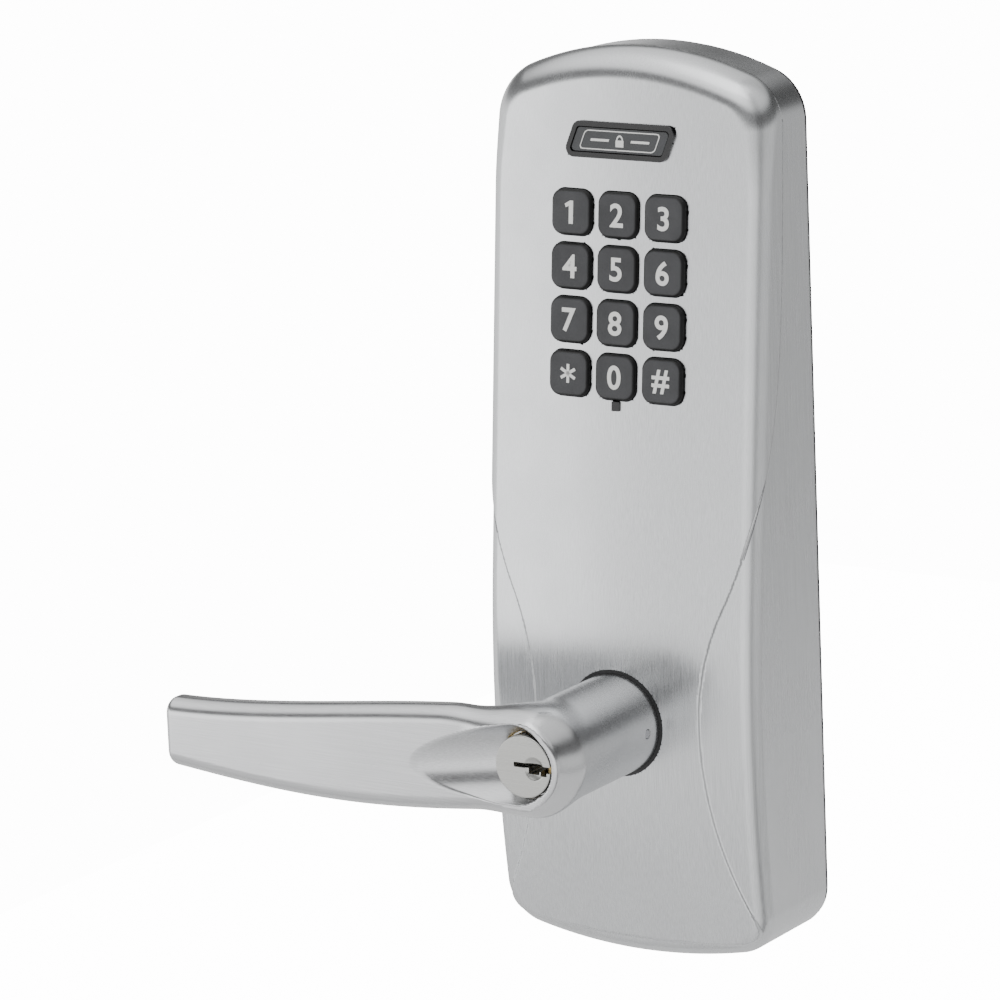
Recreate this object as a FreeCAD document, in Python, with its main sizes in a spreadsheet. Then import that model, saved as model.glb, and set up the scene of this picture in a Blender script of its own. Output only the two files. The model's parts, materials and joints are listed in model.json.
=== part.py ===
import FreeCAD, Part
import math
import os
import Sketcher

# Outside unit of an electronic keypad lock for a door: cast escutcheon, keypad, lever and key cylinder.
# Millimetres.  +X is to the right seen from outside, +Z is up, and the door's outer face is the plane Y = 0.
# The lever turns about the Y axis.  "Depth" below is the distance out from the door, so it is minus Y.

Vector = FreeCAD.Vector
doc = FreeCAD.newDocument("keypad_lock")
sheet = doc.addObject("Spreadsheet::Sheet", "Sizes")

SIZES = {
    # escutcheon outline, seen from the front
    "width": 89.0, "top_height": 190.3, "foot_drop": 70.3, "arch_radius": 95.0, "foot_radius": 170.0,
    "top_corner": 15.0, "foot_corner": 13.0, "seat": 1.5, "wall": 3.0, "roll": 4.2, "step": 0.6,
    # front face: an arc in side view that runs into a leaning straight line, crowned from side to side
    "face_depth": 42.1, "face_radius": 420.0, "face_lean": 5.65, "crown_radius": 450.0,
    # raised panel on the face: waist beside the lever, foot line below, shoulder line down the side wall
    "waist": 27.2, "waist_height": 2.0, "shoulder_arc": 80.0, "shoulder_height": 36.0, "panel_arc": 125.0,
    "panel_foot": 62.5, "panel_foot_radius": 420.0, "panel_corner": 6.0,
    "side_line_height": 70.0, "side_line_depth": 34.2, "side_line_arc": 80.0,
    "side_line_top": 104.0, "side_line_top_depth": 23.4, "side_line_slope": 0.085,
    # keypad
    "key_pitch": 15.24, "keypad_height": 121.9, "key_size": 13.0, "key_corner": 3.5, "key_proud": 1.5,
    "key_edge": 1.1, "key_gap": 0.3, "key_flange": 14.5, "key_neck": 4.6,
    "flange_thick": 0.9, "plunger_radius": 1.6, "plunger_length": 3.3,
    "seal_depth": 7.0, "seal_thick": 1.2, "board_depth": 9.7, "board_thick": 1.6, "board_width": 59.0,
    "board_foot": 37.0, "board_head": 53.0, "dome_radius": 3.0, "dome_rise": 0.5,
    "board_hole_side": 26.2, "boss_radius": 3.2,
    # entry button above the keys
    "enter_height": 165.3, "enter_width": 33.5, "enter_tall": 10.3, "enter_slant": 1.9, "enter_corner": 2.6,
    "bezel": 1.5,
    "bezel_proud": 0.8, "enter_proud": 0.5,
    # status window below the zero key
    "nub_width": 2.3, "nub_top": 92.2, "nub_foot": 89.6, "nub_proud": 0.7,
    # lever, hub and bearing
    "hub_radius": 14.6, "hub_back": 36.8, "hub_front": 79.0, "bearing_bore": 14.65, "lever_hole": 15.65,
    "arm_reach": 124.0, "arm_front": 91.4, "arm_tip_front": 84.0, "arm_thick": 11.5, "arm_bow": 900.0,
    "arm_top_root": 15.6, "arm_top_tip": 5.9, "arm_foot_root": 13.4, "arm_foot_tip": 12.9,
    "arm_foot_arc": 340.0, "tip_corner": 3.0, "rim_radius": 11.3, "rim_front": 91.2,
    # cylinder and plug
    "plug_radius": 6.35, "plug_bore": 6.4, "plug_face_radius": 9.0, "plug_front": 91.0,
    "plug_face_back": 88.0, "plug_back": 57.4, "shell_radius": 8.5, "shell_front": 87.6,
    "shell_back": 58.0, "bible_reach": 14.3, "bible_width": 8.0, "bible_front": 80.0, "bible_back": 61.0,
    "keyway_tall": 1.6, "keyway_left": 2.9, "keyway_right": 9.2, "keyway_deep": 24.0,
    "pin_radius": 1.4, "pin_bore": 1.5, "pin_pitch": 3.6, "pin_first": 78.2,
    # drive parts on the lever axis
    "tube_radius": 10.0, "tube_bore": 8.3, "tube_back": 24.0, "tube_front": 56.0,
    "clip_thick": 1.0,
    "spindle_radius": 6.0, "spindle_bore": 4.2, "spindle_front": 22.0, "spindle_reach": 38.0,
    "spindle_tail_radius": 5.8, "spindle_shoulder": 1.0,
    "tail_width": 6.0, "tail_thick": 1.6, "tail_reach": 44.0,
    "spring_ring": 13.0, "spring_wire": 0.8, "spring_leg": 4.2, "spring_depth": 27.0,
    # plate, posts, spring cage
    "plate_back": 2.0, "plate_thick": 2.0, "plate_gap": 0.3, "post_spacing": 38.1, "post_radius": 4.0,
    "post_reach": 14.0, "post_thread": 2.45, "cage_radius": 25.0, "cage_wall": 2.0, "cage_front": 35.2,
    "screw_side": 34.0, "screw_top": 166.0, "screw_foot": 51.0, "screw_radius": 1.75,
    # clutch
    "motor_height": 39.0, "motor_radius": 6.0,
}
for row, (alias, number) in enumerate(SIZES.items(), start=1):
    sheet.set(f"A{row}", alias)
    sheet.set(f"B{row}", str(number))
    sheet.setAlias(f"B{row}", alias)
doc.recompute()


class Size:
    """A length that carries both its number and the sheet expression that gives it."""

    def __init__(self, number, text):
        self.number = number
        self.text = text

    def joined(self, other, sign, number):
        return Size(number, f"({self.text} {sign} {as_size(other).text})")

    def __add__(self, other):
        return self.joined(other, "+", self.number + as_size(other).number)

    def __sub__(self, other):
        return self.joined(other, "-", self.number - as_size(other).number)

    def __mul__(self, other):
        return self.joined(other, "*", self.number * as_size(other).number)

    def __truediv__(self, other):
        return self.joined(other, "/", self.number / as_size(other).number)

    def __radd__(self, other):
        return as_size(other) + self

    def __rsub__(self, other):
        return as_size(other) - self

    def __rmul__(self, other):
        return as_size(other) * self

    def __neg__(self):
        return Size(-self.number, f"(0 - {self.text})")


def as_size(value):
    return value if isinstance(value, Size) else Size(float(value), f"({value})")


def root(value):
    return Size(math.sqrt(value.number), f"sqrt({value.text})")


def sine(degrees):
    return Size(math.sin(math.radians(degrees.number)), f"sin({degrees.text})")


def cosine(degrees):
    return Size(math.cos(math.radians(degrees.number)), f"cos({degrees.text})")


class Dims:
    """Every cell of the sheet as a Size, by its alias."""

    def __getattr__(self, alias):
        return Size(float(sheet.get(alias)), f"Sizes.{alias}")


D = Dims()


def bind(thing, path, value):
    """Set a property or a sketch dimension from the sheet."""
    thing.setExpression(path, as_size(value).text)


# ---------------------------------------------------------------- features

def new_body(label, depth=0, height=0, side=0, lean=None):
    """A body whose local origin is at the given side, depth and height, leaning with the face if asked."""
    body = doc.addObject("PartDesign::Body", label)
    body.Label = label
    angle = lean.number if lean else 0
    body.Placement = FreeCAD.Placement(Vector(0, 0, 0), FreeCAD.Rotation(Vector(-1, 0, 0), angle))
    bind(body, "Placement.Base.x", side)
    bind(body, "Placement.Base.y", -as_size(depth))
    bind(body, "Placement.Base.z", height)
    return body


def new_sketch(body, role="XZ_Plane", offset=0):
    """A sketch on one of the body's own planes.  On XZ_Plane the offset is a depth."""
    sketch = body.newObject("Sketcher::SketchObject", body.Name + "_sketch")
    plane = [item for item in body.Origin.OriginFeatures if item.Role == role][0]
    sketch.AttachmentSupport = [(plane, "")]
    sketch.MapMode = "FlatFace"
    bind(sketch, "AttachmentOffset.Base.z", offset)
    return sketch


def add_rules(sketch, rules):
    """Add constraints in one go.  A rule is (constraint, Size), or (constraint, None) without a size."""
    first = sketch.ConstraintCount
    sketch.addConstraint([constraint for constraint, _ in rules])
    for index, (_, value) in enumerate(rules, start=first):
        if value is not None:
            label = f"size_{index}"
            sketch.renameConstraint(index, label)
            bind(sketch, "Constraints." + label, value)


def place_rules(shape, end, x, y):
    """Rules that hold one point of a sketch at a place given by the sheet."""
    rules = []
    for kind, axis, value in (("DistanceX", -2, as_size(x)), ("DistanceY", -1, as_size(y))):
        if value.text == "(0)":
            rules.append((Sketcher.Constraint("PointOnObject", shape, end, axis), None))
        else:
            rules.append((Sketcher.Constraint(kind, shape, end, value.number), value))
    return rules


def add_circle(sketch, x, y, radius):
    x, y, radius = as_size(x), as_size(y), as_size(radius)
    centre = Vector(x.number, y.number, 0)
    shape = sketch.addGeometry(Part.Circle(centre, Vector(0, 0, 1), radius.number))
    size_rule = (Sketcher.Constraint("Radius", shape, radius.number), radius)
    add_rules(sketch, place_rules(shape, 3, x, y) + [size_rule])


def arc_between(start, end, radius, side):
    """Arc through two points.  side is +1 with the centre on the left of the way, -1 on the right."""
    chord = end - start
    middle = (start + end) * 0.5
    across = Vector(-chord.y, chord.x, 0).normalize()
    centre = middle + across * side * math.sqrt(max(radius ** 2 - (chord.Length / 2) ** 2, 0))
    first, last = (start, end) if side > 0 else (end, start)
    angles = [math.atan2(point.y - centre.y, point.x - centre.x) for point in (first, last)]
    return Part.ArcOfCircle(Part.Circle(centre, Vector(0, 0, 1), radius), angles[0], angles[1])


def add_outline(sketch, corners):
    """Closed outline.  A corner is (x, y), or (x, y, radius, side) where an arc leads on from it."""
    count = len(corners)
    points = [Vector(as_size(corner[0]).number, as_size(corner[1]).number, 0) for corner in corners]
    ends = []
    for index, corner in enumerate(corners):
        start, end = points[index], points[(index + 1) % count]
        if len(corner) == 4:
            radius, side = as_size(corner[2]), corner[3]
            shape = sketch.addGeometry(arc_between(start, end, radius.number, side))
            ends.append((shape, 1, 2) if side > 0 else (shape, 2, 1))
        else:
            shape = sketch.addGeometry(Part.LineSegment(start, end))
            ends.append((shape, 1, 2))
    rules = []
    for index, corner in enumerate(corners):
        shape, begin, finish = ends[index]
        following = ends[(index + 1) % count]
        rules.append((Sketcher.Constraint("Coincident", shape, finish, following[0], following[1]), None))
        rules += place_rules(shape, begin, corner[0], corner[1])
        if len(corner) == 4:
            radius = as_size(corner[2])
            rules.append((Sketcher.Constraint("Radius", shape, radius.number), radius))
    add_rules(sketch, rules)


def add_box(sketch, x, y, width, tall, corner=None, slant=0):
    """Upright box about (x, y), with round corners if asked, its top moved right by the slant."""
    x, y, half, rise = as_size(x), as_size(y), as_size(width) / 2, as_size(tall) / 2
    if corner is None:
        add_outline(sketch, [(x - half - slant, y - rise), (x + half - slant, y - rise),
                             (x + half + slant, y + rise), (x - half + slant, y + rise)])
        return
    corner = as_size(corner)
    run = half - corner
    climb = rise - corner
    add_outline(sketch, [
        (x - run, y - rise), (x + run, y - rise, corner, 1), (x + half, y - climb),
        (x + half, y + climb, corner, 1), (x + run, y + rise), (x - run, y + rise, corner, 1),
        (x - half, y + climb), (x - half, y - climb, corner, 1)])


def finish(feature, sketch, length, both_ways, backwards, draft=0):
    feature.Profile = sketch
    bind(feature, "Length", length)
    feature.SideType = "Symmetric" if both_ways else "One side"
    feature.Reversed = backwards
    feature.TaperAngle = draft
    sketch.Visibility = False
    doc.recompute()
    return feature


def pad(body, sketch, length, both_ways=False, backwards=False, draft=0):
    feature = body.newObject("PartDesign::Pad", body.Name + "_pad")
    return finish(feature, sketch, length, both_ways, backwards, draft)


def pocket(body, sketch, length, both_ways=False, backwards=False):
    """Cut a sketch into the body, and make sure that something was cut."""
    before = body.Shape.Volume
    feature = body.newObject("PartDesign::Pocket", body.Name + "_pocket")
    finish(feature, sketch, length, both_ways, backwards)
    if body.Shape.Volume > before - 1e-6:
        raise RuntimeError(f"{feature.Name} cuts nothing")
    return feature


def turn(body, corners, angle=360):
    """Turned piece about the lever axis.  A corner is (depth, radius), as for add_outline."""
    sketch = new_sketch(body, "YZ_Plane")
    add_outline(sketch, [(-as_size(corner[0]), *corner[1:]) for corner in corners])
    feature = body.newObject("PartDesign::Revolution", body.Name + "_turned")
    feature.Profile = sketch
    feature.ReferenceAxis = (sketch, ["H_Axis"])
    feature.Angle = angle
    doc.recompute()
    return feature


def ring(label, back, front, outer, inner, **place):
    """Plain ring or tube on the body's own Y axis."""
    body = new_body(label, **place)
    sketch = new_sketch(body, offset=back)
    add_circle(sketch, 0, 0, outer)
    if inner:
        add_circle(sketch, 0, 0, inner)
    pad(body, sketch, as_size(front) - back)
    return body


def round_edges(body, radius, wanted, kind="PartDesign::Fillet"):
    """Fillet or chamfer every edge of the body that the test picks."""
    tip = body.Tip
    names = [f"Edge{index}" for index, edge in enumerate(tip.Shape.Edges, start=1) if wanted(edge)]
    if not names:
        raise RuntimeError(f"no edge to round on {body.Label}")
    feature = body.newObject(kind, body.Name + "_rounded")
    feature.Base = (tip, names)
    bind(feature, "Radius" if kind.endswith("Fillet") else "Size", radius)
    doc.recompute()
    return feature


def joined(kind, label, first, second):
    """Part::Cut, Part::Fuse or Part::Common of two objects."""
    result = doc.addObject("Part::" + kind, label)
    result.Label = label
    result.Base = first
    result.Tool = second
    doc.recompute()
    return result


def grouped(label, items):
    """Several separate solids kept as one piece of hardware."""
    result = doc.addObject("Part::Compound", label)
    result.Label = label
    result.Links = items
    doc.recompute()
    return result


def gathered(label, items):
    """Fusion of several objects."""
    result = doc.addObject("Part::MultiFuse", label)
    result.Label = label
    result.Shapes = items
    doc.recompute()
    return result


nodes = []


def keep(thing):
    """Mark an object as one of the lock's separate pieces."""
    nodes.append(thing)
    return thing


# ---------------------------------------------------------------- the face

lean_start = D.face_radius * sine(D.face_lean)
lean_depth = D.face_depth - D.face_radius * (1 - cosine(D.face_lean))
lean_slope = sine(D.face_lean) / cosine(D.face_lean)


def face_depth_at(height):
    """Depth of the raised panel's surface at a height on the leaning part of the face."""
    return lean_depth - (as_size(height) - lean_start) * lean_slope


def outline_corners(grow):
    """The escutcheon's front outline, grown outwards by a distance."""
    half = D.width / 2 + grow
    arch, corner = D.arch_radius + grow, D.top_corner + grow
    arch_centre = D.top_height - D.arch_radius
    corner_x = half - corner
    corner_rise = root((arch - corner) * (arch - corner) - corner_x * corner_x)
    reach = arch / (arch - corner)
    foot, toe = D.foot_radius + grow, D.foot_corner + grow
    foot_centre = D.foot_radius - D.foot_drop
    toe_x = half - toe
    toe_fall = root((foot - toe) * (foot - toe) - toe_x * toe_x)
    stretch = foot / (foot - toe)
    side_top, side_foot = arch_centre + corner_rise, foot_centre - toe_fall
    arch_x, arch_y = corner_x * reach, arch_centre + corner_rise * reach
    toe_out, toe_y = toe_x * stretch, foot_centre - toe_fall * stretch
    return [
        (-toe_out, toe_y, foot, 1), (toe_out, toe_y, toe, 1), (half, side_foot), (half, side_top, corner, 1),
        (arch_x, arch_y, arch, 1), (-arch_x, arch_y, corner, 1), (-half, side_top),
        (-half, side_foot, toe, 1)]


def cast_block(label, grow, back):
    """Solid block with the base shell's outline and face, moved outwards by a distance."""
    body = new_body(label)
    face = D.face_depth - D.step + grow
    sketch = new_sketch(body, offset=back)
    add_outline(sketch, outline_corners(grow))
    pad(body, sketch, 60 - as_size(back))
    front = new_sketch(body, "YZ_Plane")
    foot, head, ahead = -90, 215, -70
    foot_depth = D.face_radius - root(D.face_radius * D.face_radius - foot * foot)
    head_depth = face_depth_at(head)
    axis = front.addGeometry(Part.LineSegment(Vector(400, 0, 0), Vector(400, 50, 0)), True)
    axis_depth = D.crown_radius - face
    add_rules(front, place_rules(axis, 1, axis_depth, 0) + place_rules(axis, 2, axis_depth, 50))
    add_outline(front, [
        (foot_depth - face, foot, D.face_radius, -1), (D.face_depth - lean_depth - face, lean_start),
        (D.face_depth - head_depth - face, head), (ahead, head), (ahead, foot)])
    groove = body.newObject("PartDesign::Groove", label + "_face")
    groove.Profile = front
    groove.ReferenceAxis = (front, ["Axis0"])
    groove.Angle = 24
    groove.Midplane = True
    doc.recompute()
    return body


def on_rim(shape):
    """Test for the edges where the face meets the side wall."""
    def wanted(edge):
        walls = shape.ancestorsOfType(edge, Part.Face)
        if len(walls) != 2:
            return False
        point = edge.valueAt((edge.FirstParameter + edge.LastParameter) / 2)
        leans = sorted(abs(wall.normalAt(*wall.Surface.parameter(point)).y) for wall in walls)
        return leans[0] < 0.05 and 0.5 < leans[1] and point.y < -15
    return wanted


def rolled_block(label, grow, back):
    body = cast_block(label, grow, back)
    round_edges(body, D.roll, on_rim(body.Tip.Shape))
    return body


def panel_front():
    """Prism with the raised panel's outline seen from the front: narrow beside the lever."""
    body = new_body("panel_front")
    sketch = new_sketch(body, offset=5)
    rise = D.shoulder_height - D.waist_height
    level = root(D.shoulder_arc * D.shoulder_arc - rise * rise)
    shoulder_x = D.waist + D.shoulder_arc - level
    edge_x = D.width / 2 + D.step + 1
    upper_arc = (edge_x - shoulder_x) / (1 - level / D.shoulder_arc)
    edge_y = D.shoulder_height + upper_arc * rise / D.shoulder_arc
    drop = D.panel_foot + D.waist_height
    foot_x = D.waist + D.panel_arc - root(D.panel_arc * D.panel_arc - drop * drop)
    top, out = 215, 60
    right = [(foot_x, -D.panel_foot, D.panel_arc, -1), (D.waist, D.waist_height, D.shoulder_arc, -1),
             (shoulder_x, D.shoulder_height, upper_arc, 1), (edge_x, edge_y), (out, edge_y), (out, top)]
    left = [(-out, top), (-out, edge_y), (-edge_x, edge_y, upper_arc, 1),
            (-shoulder_x, D.shoulder_height, D.shoulder_arc, -1), (-D.waist, D.waist_height, D.panel_arc, -1),
            (-foot_x, -D.panel_foot, D.panel_foot_radius, 1)]
    add_outline(sketch, right + left)
    pad(body, sketch, 70)
    foot = D.panel_foot.number
    round_edges(body, D.panel_corner, lambda edge: edge.CenterOfMass.z < 1 - foot and len(edge.Vertexes) == 2
                and abs(edge.Vertexes[0].Y - edge.Vertexes[1].Y) > 1)
    return body


def panel_side():
    """Prism with the raised panel's extent seen from the side: it wraps onto the wall above the shoulder."""
    body = new_body("panel_side")
    sketch = new_sketch(body, "YZ_Plane")
    skin, ahead, foot, top = -30, -70, -90, 215
    rise = top - D.side_line_top
    add_outline(sketch, [
        (skin, foot), (skin, D.side_line_height - 3),
        (-D.side_line_depth, D.side_line_height, D.side_line_arc, 1),
        (-D.side_line_top_depth, D.side_line_top), (rise * D.side_line_slope - D.side_line_top_depth, top),
        (ahead, top), (ahead, foot)])
    pad(body, sketch, 120, both_ways=True)
    return body


def key_places():
    """Name, column and row of each key, counted from the keypad's middle."""
    names = ["1", "2", "3", "4", "5", "6", "7", "8", "9", "star", "0", "hash"]
    return [("key_" + name, index % 3 - 1, 1.5 - index // 3) for index, name in enumerate(names)]


keypad_depth = face_depth_at(D.keypad_height)
enter_depth = face_depth_at(D.enter_height)
keypad = {"depth": keypad_depth, "height": D.keypad_height, "lean": D.face_lean}
enter_up = (D.enter_height - D.keypad_height) / cosine(D.face_lean)
key_drop = D.key_pitch * 1.5
nub_up = ((D.nub_top + D.nub_foot) / 2 - D.keypad_height) / cosine(D.face_lean)
nub_tall = D.nub_top - D.nub_foot
board_mid = (D.board_head - D.board_foot) / 2
board_tall = D.board_head + D.board_foot
board_holes = [(side * D.board_hole_side, up)
               for side in (-1, 1) for up in (3 - D.board_foot, D.board_head - 3)]
plate_holes = [(side * D.screw_side, up) for side in (-1, 1) for up in (D.screw_top, -D.screw_foot)]


def slanted_block(label, behind, ahead, margin, corner):
    """Block with the entry button's slanted outline, smaller by a margin, its corners rounded."""
    body = new_body(label, **keypad)
    sketch = new_sketch(body, offset=behind)
    tall = D.enter_tall - margin
    add_box(sketch, 0, enter_up, D.enter_width - margin, tall, slant=D.enter_slant * tall / D.enter_tall)
    pad(body, sketch, ahead - behind)
    round_edges(body, corner, lambda edge: abs(edge.Vertexes[0].Y - edge.Vertexes[-1].Y) > 1)
    return body


def face_openings():
    """What is cut through the face for the keys and the status window."""
    body = new_body("face_openings", **keypad)
    opening = D.key_size + D.key_gap * 2
    corner = D.key_corner + D.key_gap
    for _, column, row in key_places():
        sketch = new_sketch(body, offset=-8)
        add_box(sketch, column * D.key_pitch, row * D.key_pitch, opening, opening, corner)
        pad(body, sketch, 14)
    window = new_sketch(body, offset=-8)
    add_box(window, 0, nub_up, D.nub_width, nub_tall)
    pad(body, window, 14)
    return body


def posts_inside(label, depth_from, depth_to, places, radius, **place):
    """Row of round bosses or holes parallel to the body's Y axis."""
    body = new_body(label, **place)
    sketch = new_sketch(body, offset=depth_from)
    for x, y in places:
        add_circle(sketch, x, y, radius)
    pad(body, sketch, as_size(depth_to) - depth_from)
    return body


def escutcheon_housing():
    """Hollow cast cover: base shell, raised panel, bosses for the plate and the board, and its openings."""
    base = rolled_block("base_block", as_size(0), D.seat)
    raised = rolled_block("raised_block", D.step, as_size(10))
    panel = joined("Common", "panel_strip", raised, panel_front())
    panel = joined("Common", "panel_cover", panel, panel_side())
    outside = joined("Fuse", "outside", base, panel)
    hollow = cast_block("hollow", -D.wall, as_size(0))
    shell = joined("Cut", "shell", outside, hollow)
    plate_front = D.plate_back + D.plate_thick
    plate_bosses = posts_inside("plate_bosses", plate_front, 50, plate_holes, D.boss_radius)
    board_bosses = posts_inside("board_bosses", -D.board_depth, 0, board_holes, D.boss_radius, **keypad)
    bosses = gathered("bosses", [plate_bosses, board_bosses])
    bosses = joined("Common", "trimmed_bosses", bosses, cast_block("boss_limit", as_size(-1), as_size(0)))
    shell = joined("Fuse", "shell_with_bosses", shell, bosses)
    lever_hole = ring("lever_hole", 20, 60, D.lever_hole, None)
    plate_taps = posts_inside("plate_taps", 0, 14, plate_holes, D.screw_radius)
    board_taps = posts_inside("board_taps", -20, -4.5, board_holes, 1.3, **keypad)
    enter_opening = slanted_block("enter_opening", as_size(-8), as_size(6), as_size(-0.1), D.enter_corner)
    cuts = gathered("housing_cuts", [face_openings(), enter_opening, lever_hole, plate_taps, board_taps])
    return joined("Cut", "escutcheon_housing", shell, cuts)


def door_gasket():
    """Foam gasket between the cast edge and the door, with a lip inside the wall."""
    body = new_body("door_gasket")
    sketch = new_sketch(body)
    add_outline(sketch, outline_corners(as_size(-0.4)))
    add_outline(sketch, outline_corners(as_size(-6)))
    pad(body, sketch, D.seat)
    return body


def mounting_plate():
    """Pressed steel plate that closes the back and carries the posts, spring cage and clutch."""
    body = new_body("mounting_plate")
    sketch = new_sketch(body, offset=D.plate_back)
    add_outline(sketch, outline_corners(-D.wall - D.plate_gap))
    add_circle(sketch, 0, 0, 11)
    for up in (-1, 1):
        add_circle(sketch, 0, up * D.post_spacing / 2, D.post_radius)
    for x, y in plate_holes:
        add_circle(sketch, x, y, D.screw_radius)
    add_box(sketch, 0, 74, 16, 12, 3)
    pad(body, sketch, D.plate_thick)
    return body


def plate_screws():
    """Four countersunk-style pan screws that hold the plate to the housing bosses."""
    heads = posts_inside("plate_screw_heads", D.plate_back - 1.6, D.plate_back, plate_holes, 3)
    shanks = posts_inside("plate_screw_shanks", D.plate_back - 0.5, 13, plate_holes, D.screw_radius)
    slots = new_body("plate_screw_slots")
    sketch = new_sketch(slots, offset=0)
    for x, y in plate_holes:
        add_box(sketch, x, y, 4.4, 0.8)
    pad(slots, sketch, D.plate_back - 0.9)
    return joined("Cut", "plate_screws", joined("Fuse", "plate_screw_blanks", heads, shanks), slots)


def mounting_posts():
    """Two threaded posts that the through-bolts from the inside unit screw into."""
    body = new_body("mounting_posts")
    front = D.plate_back + D.plate_thick
    sketch = new_sketch(body, offset=-D.post_reach)
    for up in (-1, 1):
        add_circle(sketch, 0, up * D.post_spacing / 2, D.post_radius)
    pad(body, sketch, D.post_reach + front)
    bores = new_sketch(body, offset=-D.post_reach)
    for up in (-1, 1):
        add_circle(bores, 0, up * D.post_spacing / 2, D.post_thread)
    pocket(body, bores, D.post_reach, backwards=True)
    return body


def spring_cage():
    """Deep cup over the lever's drive tube.  It bears the tube and holds the return spring."""
    body = new_body("spring_cage")
    back = D.plate_back + D.plate_thick
    inner = D.cage_radius - D.cage_wall
    turn(body, [(back, inner), (back, D.cage_radius), (D.cage_front, D.cage_radius),
                (D.cage_front, D.tube_radius + 0.05), (D.cage_front - D.cage_wall, D.tube_radius + 0.05),
                (D.cage_front - D.cage_wall, inner)])
    window = new_sketch(body, offset=9)
    add_box(window, 0, D.cage_radius, 9, 12)
    pocket(body, window, 14, backwards=True)
    return body


def lever_bushing():
    """Nylon bearing ring between the escutcheon's hole and the lever hub."""
    body = new_body("lever_bushing")
    behind = D.face_depth - D.step - D.wall - 1.2
    turn(body, [(behind - 1.8, D.bearing_bore), (behind - 1.8, 18), (behind, 18), (behind, D.lever_hole - 0.05),
                (D.face_depth - 0.1, D.lever_hole - 0.05), (D.face_depth - 0.1, D.bearing_bore)])
    return body


# ---------------------------------------------------------------- keypad

def key(label, column, row):
    """Key cap with a flange behind the face and a plunger that reaches its dome."""
    body = new_body(label, **keypad)
    x, y = column * D.key_pitch, row * D.key_pitch
    cap = new_sketch(body, offset=-D.key_neck)
    add_box(cap, x, y, D.key_size, D.key_size, D.key_corner)
    pad(body, cap, D.key_neck + D.key_proud)
    round_edges(body, D.key_edge, lambda edge: is_front_edge(edge, body))
    flange = new_sketch(body, offset=-D.key_neck - D.flange_thick)
    add_box(flange, x, y, D.key_flange, D.key_flange, D.key_corner)
    pad(body, flange, D.flange_thick)
    plunger = new_sketch(body, offset=-D.key_neck - D.plunger_length)
    add_circle(plunger, x, y, D.plunger_radius)
    pad(body, plunger, D.plunger_length)
    return body


def is_front_edge(edge, body):
    """Edges on the body's foremost plane."""
    front = body.Tip.Shape.BoundBox.YMin
    return all(abs(vertex.Y - front) < 1e-4 for vertex in edge.Vertexes)


def enter_bezel():
    """Black frame pressed into the face round the entry button."""
    frame = slanted_block("bezel_block", as_size(-3.4), D.bezel_proud, as_size(0), D.enter_corner)
    opening = slanted_block("bezel_opening", as_size(-8), as_size(6), D.bezel * 2, D.enter_corner - D.bezel)
    return joined("Cut", "enter_bezel", frame, opening)


def enter_button():
    """Slanted entry button that slides in the bezel."""
    margin = D.bezel * 2 + D.key_gap * 2
    body = slanted_block("enter_button", -D.key_neck, D.enter_proud, margin, D.enter_corner - D.bezel)
    flange = new_sketch(body, offset=-D.key_neck - 0.7)
    add_box(flange, 0, enter_up, D.enter_width - 2, D.enter_tall - 1.6)
    pad(body, flange, 0.7)
    plunger = new_sketch(body, offset=-D.key_neck - D.plunger_length)
    add_circle(plunger, 0, enter_up, D.plunger_radius)
    pad(body, plunger, D.plunger_length)
    return body


def status_window():
    """Small dark window below the zero key, in front of the status light."""
    body = new_body("status_window", **keypad)
    sketch = new_sketch(body, offset=-4.2)
    add_box(sketch, 0, nub_up, D.nub_width, nub_tall)
    pad(body, sketch, 4.2 + D.nub_proud)
    flange = new_sketch(body, offset=-4.6)
    add_box(flange, 0, nub_up - 1.2, 5, 2.4)
    pad(body, flange, 0.8)
    return body


switch_places = [(column * D.key_pitch, row * D.key_pitch) for _, column, row in key_places()]
switch_places = switch_places + [(as_size(0), enter_up)]


def keypad_seal():
    """Silicone sheet behind the keys, with a hole for each plunger and clearance round the bosses."""
    body = new_body("keypad_seal", **keypad)
    sketch = new_sketch(body, offset=-D.seal_depth - D.seal_thick)
    add_box(sketch, 0, board_mid, 45, board_tall - 6, 3)
    for x, y in switch_places:
        add_circle(sketch, x, y, 2.2)
    pad(body, sketch, D.seal_thick)
    return body


def keypad_board():
    """Circuit board that carries the dome switches, screwed to the four bosses."""
    body = new_body("keypad_board", **keypad)
    sketch = new_sketch(body, offset=-D.board_depth - D.board_thick)
    add_box(sketch, 0, board_mid, D.board_width, board_tall, 2)
    for x, y in board_holes:
        add_circle(sketch, x, y, 1.6)
    pad(body, sketch, D.board_thick)
    return body


def board_screws():
    """Four pan-head screws behind the board."""
    back = -D.board_depth - D.board_thick
    heads = posts_inside("board_screw_heads", back - 1.4, back, board_holes, 2.6, **keypad)
    shanks = posts_inside("board_screw_shanks", back, -5.5, board_holes, 1.3, **keypad)
    return joined("Fuse", "board_screws", heads, shanks)


def dome_contacts():
    """Snap domes on the board, one under each key and one under the entry button."""
    return posts_inside("dome_contacts", -D.board_depth, D.dome_rise - D.board_depth, switch_places,
                        D.dome_radius, **keypad)


def on_board_back(label, pieces):
    """Blocks soldered to the back of the board.  A piece is (x, up, width, tall, thickness)."""
    body = new_body(label, **keypad)
    for x, up, width, tall, thick in pieces:
        sketch = new_sketch(body, offset=-D.board_depth - D.board_thick - thick)
        add_box(sketch, x, up, width, tall)
        pad(body, sketch, thick)
    return body


def sounder():
    """Round piezo sounder on the back of the board."""
    back = -D.board_depth - D.board_thick
    return ring("sounder", back - 4, back, 6, 1, side=0, **keypad)


# ---------------------------------------------------------------- lever and cylinder

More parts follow.
